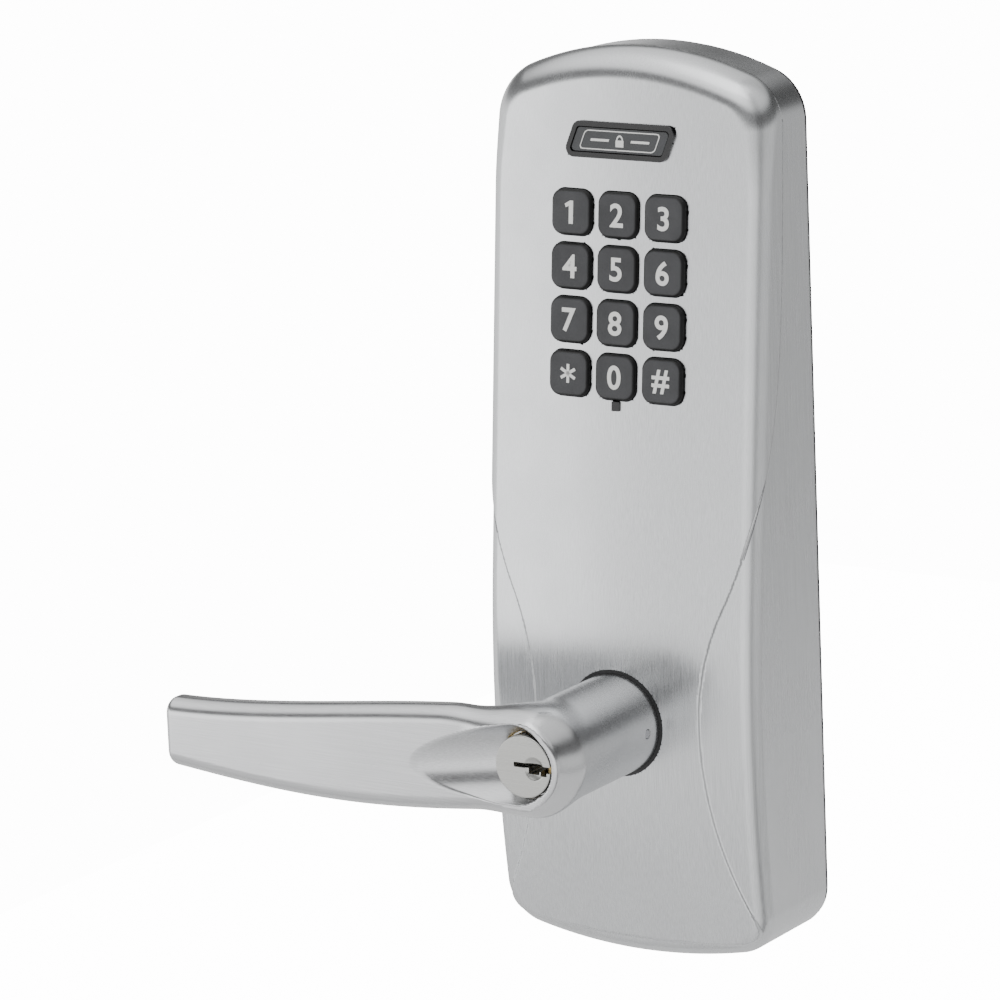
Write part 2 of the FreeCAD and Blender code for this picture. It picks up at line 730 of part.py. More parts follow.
def arm_blank():
    """Lever arm: its outline from the front, trimmed to a bowed band seen from above."""
    body = new_body("arm_outline")
    sketch = new_sketch(body, offset=60)
    tip = -D.arm_reach
    add_outline(sketch, [
        (tip, -D.arm_foot_tip), (0, -D.arm_foot_root), (0, D.arm_top_root), (tip, D.arm_top_tip)])
    pad(body, sketch, 50)
    belly = new_sketch(body, offset=60)
    add_outline(belly, [
        (tip + 3, -D.arm_foot_tip, D.arm_foot_arc, 1), (0, -D.arm_foot_root), (0, 0), (tip + 3, 0)])
    pad(body, belly, 50)
    tip_x = tip.number
    round_edges(body, D.tip_corner, lambda edge: abs(edge.CenterOfMass.x - tip_x) < 0.1
                and abs(edge.Vertexes[0].Y - edge.Vertexes[-1].Y) > 1)
    band = new_body("arm_band")
    plan = new_sketch(band, "XY_Plane")
    root_x, beyond = 8, -D.arm_reach - 6
    add_outline(plan, [
        (beyond, -D.arm_tip_front, D.arm_bow, 1), (root_x, -D.arm_front), (root_x, D.arm_thick - D.arm_front),
        (-30, D.arm_thick - D.arm_front, D.arm_bow, -1), (beyond, D.arm_thick - D.arm_tip_front)])
    pad(band, plan, 90, both_ways=True)
    return joined("Common", "arm_blank", body, band)


def lever_handle():
    """Cast lever: hub that flares into the arm, dished beside the cylinder, bored for tube and cylinder."""
    hub = new_body("hub")
    flare = D.arm_front - D.arm_thick - 12
    turn(hub, [(D.hub_back, 0), (D.hub_back, D.hub_radius), (flare, D.hub_radius, 26, -1),
               (D.hub_front + 1.5, D.hub_radius + 1.0), (D.arm_front - 3.5, 13.6), (D.arm_front - 1.2, 11.6),
               (D.arm_front - 1.2, 0)])
    solid = joined("Fuse", "lever_blank", arm_blank(), hub)
    dish = doc.addObject("Part::Ellipsoid", "dish")
    bind(dish, "Radius1", 11.6)
    bind(dish, "Radius2", 24)
    bind(dish, "Radius3", 8.5)
    dish.Placement = FreeCAD.Placement(Vector(0, 0, 0), FreeCAD.Rotation(Vector(0, 1, 0), 4))
    bind(dish, "Placement.Base.x", -14)
    bind(dish, "Placement.Base.y", -D.arm_front - 4)
    bind(dish, "Placement.Base.z", 0.5)
    solid = joined("Cut", "dished_lever", solid, dish)
    rim = ring("rim", D.arm_front - 9, D.rim_front, D.rim_radius, None)
    solid = joined("Fuse", "rimmed_lever", solid, rim)
    bore = new_body("lever_bores")
    turn(bore, [(D.hub_back - 2, 0), (D.hub_back - 2, D.tube_radius), (D.tube_front + 0.5, D.tube_radius),
                (D.tube_front + 0.5, D.shell_radius), (D.shell_front, D.shell_radius),
                (D.shell_front, D.plug_face_radius + 0.4), (D.arm_front + 4, D.plug_face_radius + 0.4),
                (D.arm_front + 4, 0)])
    slot = new_sketch(bore, offset=D.bible_back)
    add_box(slot, -D.bible_reach / 2, 0, D.bible_reach, D.bible_width)
    pad(bore, slot, D.bible_front - D.bible_back)
    catch = new_sketch(bore, "YZ_Plane")
    add_circle(catch, -48, 0, 1.3)
    pad(bore, catch, 18)
    return joined("Cut", "lever_handle", solid, bore)


def cylinder_shell():
    """Body of the key cylinder: barrel with the pin chamber bar towards the arm."""
    body = new_body("cylinder_shell")
    sketch = new_sketch(body, offset=D.shell_back)
    add_circle(sketch, 0, 0, D.shell_radius)
    pad(body, sketch, D.shell_front - D.shell_back)
    bar = new_sketch(body, offset=D.bible_back)
    add_box(bar, -D.bible_reach / 2, 0, D.bible_reach, D.bible_width)
    pad(body, bar, D.bible_front - D.bible_back)
    bore = new_sketch(body, offset=D.shell_back)
    add_circle(bore, 0, 0, D.plug_bore)
    pocket(body, bore, D.shell_front - D.shell_back, backwards=True)
    chambers = new_sketch(body, "YZ_Plane", offset=-1 - D.bible_reach)
    for index in range(5):
        add_circle(chambers, index * D.pin_pitch - D.pin_first, 0, D.pin_bore)
    pocket(body, chambers, D.bible_reach + 1 - D.plug_radius + 1, backwards=True)
    return body


def cylinder_plug():
    """Plug that the key turns, with its keyway open to the right and five pin holes on the left."""
    body = new_body("cylinder_plug")
    turn(body, [(D.plug_back, 0), (D.plug_back, D.plug_radius), (D.plug_face_back, D.plug_radius),
                (D.plug_face_back, D.plug_face_radius), (D.plug_front, D.plug_face_radius), (D.plug_front, 0)])
    keyway = new_sketch(body, offset=D.plug_front + 1)
    add_box(keyway, (D.keyway_right - D.keyway_left) / 2, 0, D.keyway_right + D.keyway_left, D.keyway_tall)
    pocket(body, keyway, D.keyway_deep)
    finger = new_sketch(body, offset=D.plug_front + 1)
    add_circle(finger, 4.6, 0, 3.1)
    pocket(body, finger, 2)
    chambers = new_sketch(body, "YZ_Plane", offset=-1.4)
    for index in range(5):
        add_circle(chambers, index * D.pin_pitch - D.pin_first, 0, D.pin_bore)
    pocket(body, chambers, 7)
    slot = new_sketch(body, offset=D.plug_back)
    add_box(slot, 0, 0, D.tail_width + 0.1, D.tail_thick + 0.1)
    pocket(body, slot, 2, backwards=True)
    return body


def pins(label, inner, outer):
    """Five pins in a row along the plug, lying across it from one distance to another."""
    body = new_body(label)
    sketch = new_sketch(body, "YZ_Plane", offset=-as_size(outer))
    for index in range(5):
        add_circle(sketch, index * D.pin_pitch - D.pin_first, 0, D.pin_radius)
    pad(body, sketch, as_size(outer) - inner)
    return body


def coil(label, radius, wire, pitch, length):
    """Round-wire coil spring along its own Z axis."""
    helix = doc.addObject("Part::Helix", label + "_line")
    bind(helix, "Radius", radius)
    bind(helix, "Pitch", pitch)
    bind(helix, "Height", length)
    section = doc.addObject("Part::Circle", label + "_wire")
    bind(section, "Radius", wire)
    section.Placement = FreeCAD.Placement(Vector(as_size(radius).number, 0, 0),
                                          FreeCAD.Rotation(Vector(1, 0, 0), 90))
    doc.recompute()
    sweep = doc.addObject("Part::Sweep", label)
    sweep.Label = label
    sweep.Sections = [section]
    sweep.Spine = (helix, ["Edge1"])
    sweep.Solid = True
    sweep.Frenet = True
    doc.recompute()
    return sweep


def pin_springs():
    """Five small springs behind the driver pins, gathered in one piece of hardware."""
    places = []
    for index in range(5):
        spring = coil(f"pin_spring_{index}", 1.05, 0.18, 0.9, 3.4)
        depth = D.pin_first - index * D.pin_pitch
        spring.Placement = FreeCAD.Placement(Vector(-13.4, -depth.number, 0),
                                             FreeCAD.Rotation(Vector(0, 1, 0), 90))
        places.append(spring)
    return grouped("pin_springs", places)


def plug_clip():
    """Spring clip on the back of the plug that keeps it in the shell."""
    return ring("plug_clip", D.plug_back - D.clip_thick, D.plug_back, 7.6, 3.2)


def tailpiece():
    """Flat bar that carries the plug's turn back through the spindle into the door."""
    body = new_body("tailpiece")
    sketch = new_sketch(body, offset=-D.tail_reach)
    add_box(sketch, 0, 0, D.tail_width, D.tail_thick)
    pad(body, sketch, D.plug_back + 2 + D.tail_reach)
    return body


def drive_tube():
    """Steel tube that the lever is pressed on.  Two dog slots at its back take the clutch collar."""
    body = ring("drive_tube", D.tube_back, D.tube_front, D.tube_radius, D.tube_bore)
    dogs = new_sketch(body, offset=D.tube_back)
    add_box(dogs, 0, 0, 5, D.tube_radius * 2 + 2)
    pocket(body, dogs, 4, backwards=True)
    catch = new_sketch(body, "YZ_Plane")
    add_circle(catch, -48, 0, 1.3)
    pocket(body, catch, 18, backwards=True)
    return body


def drive_cam():
    """Collar on the drive tube with a lug that winds the return spring."""
    body = ring("drive_cam", 29, 31.4, 13.5, D.tube_radius)
    lug = new_sketch(body, offset=29)
    add_box(lug, 0, 15.8, 5, 6)
    pad(body, lug, 2.4)
    return body


def return_spring():
    """Open ring of spring wire round the drive tube, its two legs resting either side of the cam's lug."""
    opening = math.degrees(math.asin(D.spring_leg.number / D.spring_ring.number))
    wire_ring = doc.addObject("Part::Torus", "return_ring")
    bind(wire_ring, "Radius1", D.spring_ring)
    bind(wire_ring, "Radius2", D.spring_wire)
    wire_ring.Angle3 = 360 - 2 * opening
    across = FreeCAD.Rotation(Vector(1, 0, 0), -90)
    from_leg = FreeCAD.Rotation(Vector(0, 0, 1), 270 + opening)
    wire_ring.Placement = FreeCAD.Placement(Vector(0, -D.spring_depth.number, 0), across * from_leg)
    legs = new_body("return_legs")
    for side in (-1, 1):
        leg = new_sketch(legs, "XY_Plane", offset=D.spring_ring - 0.7)
        add_circle(leg, side * D.spring_leg, -D.spring_depth, D.spring_wire)
        pad(legs, leg, 4.5)
        finger = new_sketch(legs, offset=D.spring_depth - 0.6)
        add_circle(finger, side * D.spring_leg, D.spring_ring + 3.2, D.spring_wire)
        pad(legs, finger, 4.8)
    return joined("Fuse", "return_spring", wire_ring, legs)


def lever_catch():
    """Small sprung pin in the drive tube that holds the lever on."""
    body = new_body("lever_catch")
    head = new_sketch(body, "YZ_Plane", offset=5.8)
    add_circle(head, -48, 0, 2.2)
    pad(body, head, 1.2)
    stem = new_sketch(body, "YZ_Plane", offset=6.5)
    add_circle(stem, -48, 0, 1.2)
    pad(body, stem, 7.9)
    return body


def catch_spring():
    """Leaf that pushes the catch outwards."""
    body = new_body("catch_spring")
    sketch = new_sketch(body, "YZ_Plane", offset=3.5)
    add_box(sketch, -48, 0, 12, 3)
    pad(body, sketch, 0.4)
    return body


def spindle():
    """Hollow spindle that carries the lever's turn into the door, a little thinner where it stands out."""
    body = new_body("spindle")
    turn(body, [(-D.spindle_reach, D.spindle_bore), (-D.spindle_reach, D.spindle_tail_radius),
                (D.spindle_shoulder, D.spindle_tail_radius), (D.spindle_shoulder, D.spindle_radius),
                (D.spindle_front, D.spindle_radius), (D.spindle_front, D.spindle_bore)])
    return body


def clutch_collar():
    """Grooved collar on the spindle.  Its two dogs reach into the drive tube's slots."""
    body = new_body("clutch_collar")
    inner = D.spindle_radius + 0.05
    turn(body, [(12, inner), (12, 9), (14.6, 9), (14.6, 7.2), (17.4, 7.2), (17.4, 9), (21, 9), (21, inner)])
    for side in (-1, 1):
        dog = new_sketch(body, offset=20)
        add_box(dog, 0, side * 8.1, 4, 1.8)
        pad(body, dog, 6.5)
    return body


def clutch_fork():
    """Fork that rides the lead screw and carries the collar in its groove."""
    body = new_body("clutch_fork")
    sketch = new_sketch(body, offset=15)
    add_box(sketch, 0, D.motor_height / 2 + 2, 8, D.motor_height + 4)
    pad(body, sketch, 2)
    yoke = new_sketch(body, offset=15)
    add_box(yoke, 0, 4, 22, 20, 4)
    pad(body, yoke, 2)
    boss = new_sketch(body, offset=13)
    add_circle(boss, 0, D.motor_height, 3.6)
    pad(body, boss, 6)
    bite = new_sketch(body, offset=14)
    add_circle(bite, 0, 0, 7.6)
    pocket(body, bite, 5, backwards=True)
    mouth = new_sketch(body, offset=14)
    add_box(mouth, 0, -4, 15.2, 8)
    pocket(body, mouth, 5, backwards=True)
    bore = new_sketch(body, offset=12)
    add_circle(bore, 0, D.motor_height, 1.55)
    pocket(body, bore, 8, backwards=True)
    return body


def lead_screw():
    """Screw on the motor shaft that moves the fork."""
    return ring("lead_screw", 6, 24, 1.5, None, height=D.motor_height)


def clutch_motor():
    """Small motor behind the face, above the spring cage."""
    body = ring("clutch_motor", 22, 35, D.motor_radius, None, height=D.motor_height)
    nose = new_sketch(body, offset=20.6)
    add_circle(nose, 0, 0, 2.6)
    pad(body, nose, 1.4)
    bore = new_sketch(body, offset=20)
    add_circle(bore, 0, 0, 1.55)
    pocket(body, bore, 4.6, backwards=True)
    return body


def motor_bracket():
    """Bent bracket that holds the motor over the mounting plate."""
    body = new_body("motor_bracket", height=D.motor_height)
    back = D.plate_back + D.plate_thick
    foot = new_sketch(body, offset=back)
    add_box(foot, 0, 0, 24, 15)
    pad(body, foot, 1.2)
    for side in (-1, 1):
        wall = new_sketch(body, offset=back)
        add_box(wall, side * 9.6, 0, 1.2, 12)
        pad(body, wall, 16.6)
    shelf = new_sketch(body, offset=19.4)
    add_box(shelf, 0, 0, 20.4, 12)
    add_circle(shelf, 0, 0, 2.8)
    pad(body, shelf, 1.2)
    return body


# ---------------------------------------------------------------- assembly

keep(escutcheon_housing())
for maker in (door_gasket, mounting_plate, plate_screws, mounting_posts, spring_cage, lever_bushing,
              keypad_seal, keypad_board, board_screws, dome_contacts, enter_bezel, enter_button, status_window):
    keep(maker())
for place in key_places():
    keep(key(*place))
keep(on_board_back("control_chips", [(-10, 18, 12, 12, 1.6), (12, 22, 7, 9, 1.2), (14, -12, 5, 4, 1.2)]))
keep(on_board_back("status_light", [(0, nub_up, 3, 1.6, 1.0)]))
keep(on_board_back("harness_connector", [(0, 12 - D.board_foot, 14, 6, 6.0)]))
keep(sounder())
for maker in (lever_handle, cylinder_shell, drive_tube, drive_cam, lever_catch, catch_spring, cylinder_plug,
              plug_clip, tailpiece, spindle, clutch_collar, clutch_fork, lead_screw, clutch_motor, motor_bracket):
    keep(maker())
keep(pins("bottom_pins", 1.6, 6.1))
keep(pins("driver_pins", 6.5, 9.6))
keep(pin_springs())
keep(return_spring())
keep(ring("tube_clip", 31.8, 33.0, 12.4, D.tube_radius))

doc.recompute()
for item in doc.Objects:
    if "Invalid" in item.State or "Error" in item.State:
        raise RuntimeError(f"{item.Label} failed")
for item in nodes:
    if item.Shape.isNull() or not item.Shape.isValid():
        raise RuntimeError(f"{item.Label} has no valid shape")
os.makedirs("parts", exist_ok=True)
for item in nodes:
    item.Shape.exportStep(f"parts/{item.Label}.step")
print(len(nodes), "pieces")
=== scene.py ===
import json
import math

import bpy
import numpy as np
import openvdb
from mathutils import Matrix, Vector


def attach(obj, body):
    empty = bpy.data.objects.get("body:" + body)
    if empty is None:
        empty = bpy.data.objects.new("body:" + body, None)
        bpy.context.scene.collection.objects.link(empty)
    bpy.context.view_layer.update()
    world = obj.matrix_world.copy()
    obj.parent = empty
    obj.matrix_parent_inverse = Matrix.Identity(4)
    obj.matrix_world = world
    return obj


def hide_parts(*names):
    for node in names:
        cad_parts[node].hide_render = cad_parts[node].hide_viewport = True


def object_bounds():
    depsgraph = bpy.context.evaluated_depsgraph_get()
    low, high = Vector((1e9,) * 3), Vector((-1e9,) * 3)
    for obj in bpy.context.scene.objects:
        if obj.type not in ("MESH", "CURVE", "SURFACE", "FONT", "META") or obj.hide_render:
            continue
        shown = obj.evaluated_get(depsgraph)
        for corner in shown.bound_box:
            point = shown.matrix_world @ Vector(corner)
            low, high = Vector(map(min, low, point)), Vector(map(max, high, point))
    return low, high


# Looks for the keypad lock.  Metres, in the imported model's frame: +X right, +Y into the door, +Z up.
# "Depth" below is the distance out from the door, so it is minus Y.

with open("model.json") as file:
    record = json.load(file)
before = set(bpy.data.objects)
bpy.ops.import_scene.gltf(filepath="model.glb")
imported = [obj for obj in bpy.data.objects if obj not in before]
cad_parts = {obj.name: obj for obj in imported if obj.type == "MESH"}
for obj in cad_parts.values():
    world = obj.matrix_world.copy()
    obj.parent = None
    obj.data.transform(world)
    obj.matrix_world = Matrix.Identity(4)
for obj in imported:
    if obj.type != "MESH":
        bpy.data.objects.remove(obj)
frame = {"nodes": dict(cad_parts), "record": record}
CAD_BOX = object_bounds()
MM = 0.001


# ---------------------------------------------------------------- material helpers

class Look:
    """A material under construction, with short calls for the nodes used here."""

    def __init__(self, name, colour, metal, roughness):
        self.material = bpy.data.materials.new(name)
        self.material.use_nodes = True
        self.nodes = self.material.node_tree.nodes
        self.links = self.material.node_tree.links
        self.shader = self.nodes["Principled BSDF"]
        self.colour = colour
        self.shader.inputs["Base Color"].default_value = (*colour, 1)
        self.shader.inputs["Metallic"].default_value = metal
        self.shader.inputs["Roughness"].default_value = roughness

    def noise(self, stretch, detail=4, scale=1.0):
        """Noise in the object's own space; stretch is how many features fit in a metre each way."""
        place = self.nodes.new("ShaderNodeTexCoord")
        mapping = self.nodes.new("ShaderNodeMapping")
        mapping.inputs["Scale"].default_value = stretch
        pattern = self.nodes.new("ShaderNodeTexNoise")
        pattern.inputs["Scale"].default_value = scale
        pattern.inputs["Detail"].default_value = detail
        self.links.new(place.outputs["Object"], mapping.inputs["Vector"])
        self.links.new(mapping.outputs["Vector"], pattern.inputs["Vector"])
        return pattern.outputs["Fac"]

    def spread(self, value, low, high, start=0.3, end=0.7):
        """Map a pattern's usual range onto another."""
        node = self.nodes.new("ShaderNodeMapRange")
        node.inputs["From Min"].default_value = start
        node.inputs["From Max"].default_value = end
        node.inputs["To Min"].default_value = low
        node.inputs["To Max"].default_value = high
        self.links.new(value, node.inputs["Value"])
        return node.outputs["Result"]

    def tint(self, value, darker, lighter):
        """Base colour that runs between two shades of itself."""
        mix = self.nodes.new("ShaderNodeMix")
        mix.data_type = "RGBA"
        mix.inputs["A"].default_value = (*[c * darker for c in self.colour], 1)
        mix.inputs["B"].default_value = (*[min(c * lighter, 1) for c in self.colour], 1)
        self.links.new(value, mix.inputs["Factor"])
        self.links.new(mix.outputs["Result"], self.shader.inputs["Base Color"])

    def rough(self, value):
        self.links.new(value, self.shader.inputs["Roughness"])

    def bump(self, value, height):
        """Bump whose full swing is a height in millimetres."""
        node = self.nodes.new("ShaderNodeBump")
        node.inputs["Strength"].default_value = 1.0
        node.inputs["Distance"].default_value = height * MM
        self.links.new(value, node.inputs["Height"])
        if self.shader.inputs["Normal"].links:
            self.links.new(self.shader.inputs["Normal"].links[0].from_socket, node.inputs["Normal"])
        self.links.new(node.outputs["Normal"], self.shader.inputs["Normal"])


def brushed_metal(name, colour, roughness, grain, streak=0.07, relief=0.004):
    """Metal with fine brush lines.  grain is the pattern's frequency along each axis, low along the lines."""
    look = Look(name, colour, 1.0, roughness)
    lines = look.noise(grain, detail=6)
    haze = look.noise((60, 60, 60), detail=3)
    look.tint(look.spread(lines, 0, 1), 0.9, 1.05)
    swing = look.nodes.new("ShaderNodeMath")
    swing.operation = "MULTIPLY_ADD"
    look.links.new(look.spread(lines, -streak, streak), swing.inputs[0])
    swing.inputs[1].default_value = 1.0
    look.links.new(look.spread(haze, roughness - 0.03, roughness + 0.03), swing.inputs[2])
    look.rough(swing.outputs["Value"])
    look.bump(lines, relief)
    return look


def moulded_plastic(name, colour, roughness, grain=2500, relief=0.006):
    """Plastic with a fine moulded texture and faint shade changes."""
    look = Look(name, colour, 0.0, roughness)
    speckle = look.noise((grain, grain, grain), detail=2)
    patches = look.noise((140, 140, 140), detail=3)
    look.tint(look.spread(patches, 0, 1), 0.85, 1.15)
    look.rough(look.spread(speckle, roughness - 0.06, roughness + 0.08))
    look.bump(speckle, relief)
    return look


def key_cap_plastic():
    """Charcoal key top whose sides turn near-black: partly the skirt's own dark plastic, partly painted shade of
    the gap round each key.
    """
    look = moulded_plastic("key_plastic", (0.052, 0.053, 0.056), 0.5)
    look.shader.inputs["Specular IOR Level"].default_value = 0.3
    # Colour darkened where the surface turns away from the keypad face: the skirt's dark plastic plus painted shade
    # in the gap round each key.
    place = look.nodes.new("ShaderNodeTexCoord")
    facing = look.nodes.new("ShaderNodeVectorMath")
    facing.operation = "DOT_PRODUCT"
    facing.inputs[1].default_value = (0, -0.995, 0.098)
    look.links.new(place.outputs["Normal"], facing.inputs[0])
    top = look.spread(facing.outputs["Value"], 0.1, 1, 0.8, 0.97)
    skirt_and_gap_shade = look.nodes.new("ShaderNodeMix")
    skirt_and_gap_shade.data_type = "RGBA"
    skirt_and_gap_shade.blend_type = "MULTIPLY"
    skirt_and_gap_shade.inputs["Factor"].default_value = 1
    look.links.new(look.shader.inputs["Base Color"].links[0].from_socket, skirt_and_gap_shade.inputs["A"])
    look.links.new(top, skirt_and_gap_shade.inputs["B"])
    look.links.new(skirt_and_gap_shade.outputs["Result"], look.shader.inputs["Base Color"])
    return look


ALONG_Z = (4200, 4200, 40)
ALONG_X = (40, 4200, 4200)
ALONG_Y = (2600, 26, 2600)

LOOKS = {
    "satin_chrome": brushed_metal("satin_chrome", (0.60, 0.61, 0.62), 0.25, ALONG_Z, streak=0.03, relief=0.001),
    "lever_chrome": brushed_metal("lever_chrome", (0.60, 0.605, 0.615), 0.24, ALONG_X, streak=0.03, relief=0.0015),
    "plug_nickel": brushed_metal("plug_nickel", (0.46, 0.46, 0.445), 0.30, ALONG_X, streak=0.08),
    "zinc_plate": brushed_metal("zinc_plate", (0.55, 0.56, 0.58), 0.34, (420, 420, 420), streak=0.1),
    "post_steel": brushed_metal("post_steel", (0.5, 0.51, 0.52), 0.28, ALONG_Y),
    "screw_steel": brushed_metal("screw_steel", (0.46, 0.46, 0.48), 0.26, ALONG_Y),
    "cage_casting": brushed_metal("cage_casting", (0.38, 0.39, 0.4), 0.5, (700, 700, 700), relief=0.02),
    "dome_steel": brushed_metal("dome_steel", (0.66, 0.66, 0.65), 0.24, (900, 900, 900)),
    "cylinder_brass": brushed_metal("cylinder_brass", (0.62, 0.47, 0.22), 0.28, ALONG_Y),
    "spring_steel": brushed_metal("spring_steel", (0.5, 0.5, 0.5), 0.22, (900, 900, 900)),
    "cam_steel": brushed_metal("cam_steel", (0.4, 0.4, 0.41), 0.4, (1500, 1500, 1500), relief=0.01),
    "motor_can": brushed_metal("motor_can", (0.6, 0.6, 0.6), 0.2, ALONG_Y),
    "gasket_rubber": moulded_plastic("gasket_rubber", (0.012, 0.012, 0.013), 0.75, 1800, 0.02),
    "bushing_nylon": moulded_plastic("bushing_nylon", (0.01, 0.01, 0.011), 0.45),
    "silicone": moulded_plastic("silicone", (0.05, 0.05, 0.055), 0.6),
    "board_laminate": moulded_plastic("board_laminate", (0.01, 0.08, 0.03), 0.35),
    "bezel_gloss": moulded_plastic("bezel_gloss", (0.008, 0.008, 0.009), 0.28, relief=0.002),
    "enter_plastic": moulded_plastic("enter_plastic", (0.04, 0.042, 0.045), 0.4, relief=0.003),
    "window_plastic": moulded_plastic("window_plastic", (0.006, 0.006, 0.007), 0.2, relief=0.001),
    "key_plastic": key_cap_plastic(),
    "chip_plastic": moulded_plastic("chip_plastic", (0.015, 0.015, 0.016), 0.5),
    "light_lens": moulded_plastic("light_lens", (0.75, 0.75, 0.72), 0.2, relief=0.001),
    "sounder_plastic": moulded_plastic("sounder_plastic", (0.012, 0.012, 0.012), 0.45),
}


def dress_cad_nodes():
    """Give every CAD node the material of its slot."""
    for part in frame["record"]["subparts"]:
        node = frame["nodes"][part["node"]]
        node.data.materials.clear()
        node.data.materials.append(LOOKS[part["material_slot"]].material)


dress_cad_nodes()


def mesh_piece(name, vertices, faces, look=None):
    mesh = bpy.data.meshes.new(name)
    mesh.from_pydata([tuple(v) for v in vertices], [], [tuple(f) for f in faces])
    mesh.update()
    piece = bpy.data.objects.new(name, mesh)
    bpy.context.scene.collection.objects.link(piece)
    if look:
        mesh.materials.append(look.material)
    return piece


# ---------------------------------------------------------------- shapes from distance fields

def rounded_meet(a, b, radius):
    """Distance to where two solids overlap, with the shared edge rounded."""
    a, b = a + radius, b + radius
    return np.minimum(np.maximum(a, b), 0) + np.hypot(np.maximum(a, 0), np.maximum(b, 0)) - radius


def blended_join(a, b, width):
    """Distance to two solids that flow into each other over a width."""
    near = np.maximum(width - np.abs(a - b), 0) / width
    return np.minimum(a, b) - near * near * width / 4


def box_2d(x, y, half_wide, half_tall, corner):
    across = np.abs(x) - half_wide + corner
    along = np.abs(y) - half_tall + corner
    return np.hypot(np.maximum(across, 0), np.maximum(along, 0)) + np.minimum(np.maximum(across, along), 0) - corner


def smooth_step(value, start, end):
    t = np.clip((value - start) / (end - start), 0, 1)
    return t * t * (3 - 2 * t)


def slope_of(distance, points):
    """Gradient of a distance field at some points, by small differences."""
    reach = 0.06
    columns = []
    for axis in range(3):
        ahead, behind = points.copy(), points.copy()
        ahead[:, axis] += reach
        behind[:, axis] -= reach
        columns.append((distance(*ahead.T) - distance(*behind.T)) / (2 * reach))
    return np.stack(columns, axis=1)


def onto(distance, points, reach):
    """Move points onto a field's surface, and return them with the field's slope there."""
    for _ in range(3):
        slope = slope_of(distance, points)
        steep = np.maximum((slope * slope).sum(axis=1), 0.2)
        points = points - np.clip(slope * (distance(*points.T) / steep)[:, None], -reach, reach)
    return points, slope_of(distance, points)


def field_piece(name, distance, low, high, step, look, body, *nodes, edge=None):
    """Mesh of the surface where a distance field is zero.  The field takes x, depth and z in millimetres.

    edge is a pair of fields, a skin and what is cut through it, whose crisp shared edge the mesh follows.
    """
    spans = [np.arange(start, stop + step, step, dtype=np.float32) for start, stop in zip(low, high)]
    grid = openvdb.FloatGrid()
    grid.background = 3 * step
    block = distance(*np.meshgrid(*spans, indexing="ij"))
    grid.copyFromArray(np.clip(block, -3 * step, 3 * step).astype(np.float32))
    points, triangles, quads = grid.convertToPolygons(0.0, 0.0)
    points = np.array(low) + points.astype(float) * step
    points, slope = onto(distance, points, step / 2)
    if edge:
        skin, cut = edge
        near = (np.abs(skin(*points.T)) < 0.55 * step) & (np.abs(cut(*points.T)) < 0.55 * step)
        rim = points[near]
        for _ in range(3):
            rim, _ = onto(cut, rim, step)
            rim, rim_slope = onto(skin, rim, step)
        points[near], slope[near] = rim, rim_slope
    normals = slope / np.maximum(np.linalg.norm(slope, axis=1), 1e-6)[:, None]
    to_row = np.array([1, -1, 1])
    points, normals = points * to_row * MM, normals * to_row
    corners = points[quads]
    facing = np.cross(corners[:, 2] - corners[:, 0], corners[:, 3] - corners[:, 1])
    if (facing * normals[quads[:, 0]]).sum() < 0:
        quads = quads[:, ::-1]
    mesh = bpy.data.meshes.new(name)
    mesh.from_pydata(points.tolist(), [], quads.tolist())
    mesh.shade_smooth()
    mesh.normals_split_custom_set_from_vertices(normals.tolist())
    mesh.materials.append(LOOKS[look].material)
    piece = bpy.data.objects.new(name, mesh)
    bpy.context.scene.collection.objects.link(piece)
    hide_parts(*nodes)
    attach(piece, body)
    return piece


# ---------------------------------------------------------------- escutcheon

HALF_WIDTH = 44.5
STEP = 0.6
LEAN = math.radians(5.65)
FACE_DEPTH = 42.1
FACE_RADIUS = 420.0
LEAN_START = FACE_RADIUS * math.sin(LEAN)
KEY_PITCH = 15.24
KEYPAD_HEIGHT = 121.9
ENTER_UP = (165.3 - KEYPAD_HEIGHT) / math.cos(LEAN)
SLANT = 0.37


def face_depth(z):
    """Depth of the raised panel on the middle line: an arc that runs into a leaning line."""
    bent = np.clip(z, -FACE_RADIUS, LEAN_START)
    arc = FACE_DEPTH - FACE_RADIUS + np.sqrt(FACE_RADIUS ** 2 - bent ** 2)
    return arc - np.maximum(z - LEAN_START, 0) * math.tan(LEAN)


KEYPAD_DEPTH = float(face_depth(np.float64(KEYPAD_HEIGHT)))


def roll_at(z):
    """Radius of the rolled edge, wider over the top."""
    return 4.6 + 3.4 * smooth_step(z, 150, 184)


def outline_distance(x, z):
    """Distance outside the escutcheon's outline, seen from the front."""
    x = np.abs(x)
    distance = x - HALF_WIDTH
    for radius, centre, corner, side in ((95.0, 95.3, 15.0, 1), (170.0, 99.7, 13.0, -1)):
        inner = HALF_WIDTH - corner
        rise = math.sqrt((radius - corner) ** 2 - inner ** 2)
        aim_x, aim_z = inner / (radius - corner), rise / (radius - corner)
        high = (z - centre) * side
        arch = np.hypot(x, z - centre) - radius
        from_x, from_z = x - inner, high - rise
        in_corner = (from_x > 0) & (from_x * aim_z - from_z * aim_x > 0) & (from_z > 0)
        over_arch = (high > 0) & ~in_corner
        distance = np.where(over_arch, np.maximum(distance, arch), distance)
        distance = np.where(in_corner, np.hypot(from_x, from_z) - corner, distance)
    return distance


def between(z, low, high):
    """Smooth curve from one (height, value, slope) to another."""
    span = high[0] - low[0]
    t = np.clip((z - low[0]) / span, 0, 1)
    start = (2 * t ** 3 - 3 * t ** 2 + 1) * low[1] + (t ** 3 - 2 * t ** 2 + t) * span * low[2]
    return start + (3 * t ** 2 - 2 * t ** 3) * high[1] + (t ** 3 - t ** 2) * span * high[2]


WAIST, WAIST_HEIGHT = 27.2, 2.0
LINE_KNOTS = [(49.9, 0.0, 0.31), (70.0, 5.9, 0.36), (104.0, 12.9, 0.06), (190.0, 11.6, -0.015)]


